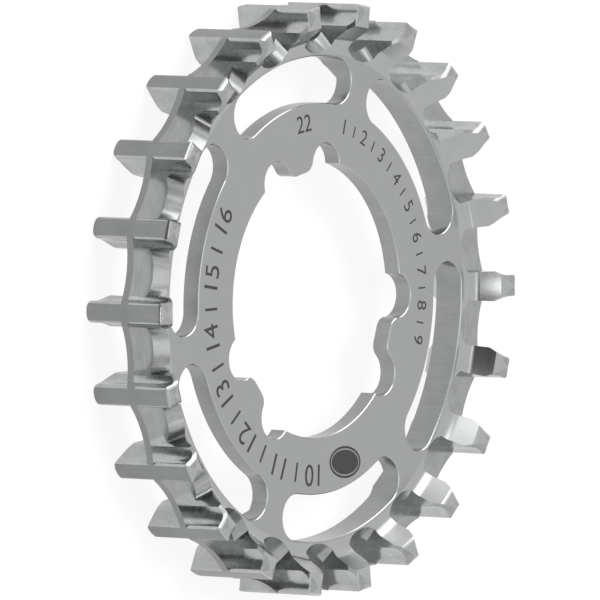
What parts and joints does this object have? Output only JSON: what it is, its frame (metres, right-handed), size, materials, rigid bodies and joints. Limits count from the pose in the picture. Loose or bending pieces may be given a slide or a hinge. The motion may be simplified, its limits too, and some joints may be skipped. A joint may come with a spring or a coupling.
{
  "type": "belt drive sprocket",
  "caption": "Ring sprocket for a toothed belt: wide teeth split by a centre fin, curved slots in a thin disc, and a bore with driving lugs.",
  "frame": {"origin": "on the bore axis, halfway along the teeth, in the middle of the centre fin's thickness", "axes": "+Z along the axle, out of the marked face; +Y through a bore lug, a slot and a gap between two teeth"},
  "size_m": [0.0754, 0.075, 0.012],
  "materials": {
    "steel": "machined stainless steel, satin face and brighter valleys"
  },
  "bodies": {
    "root": {"sprocket": "steel"}
  },
  "joints": []
}
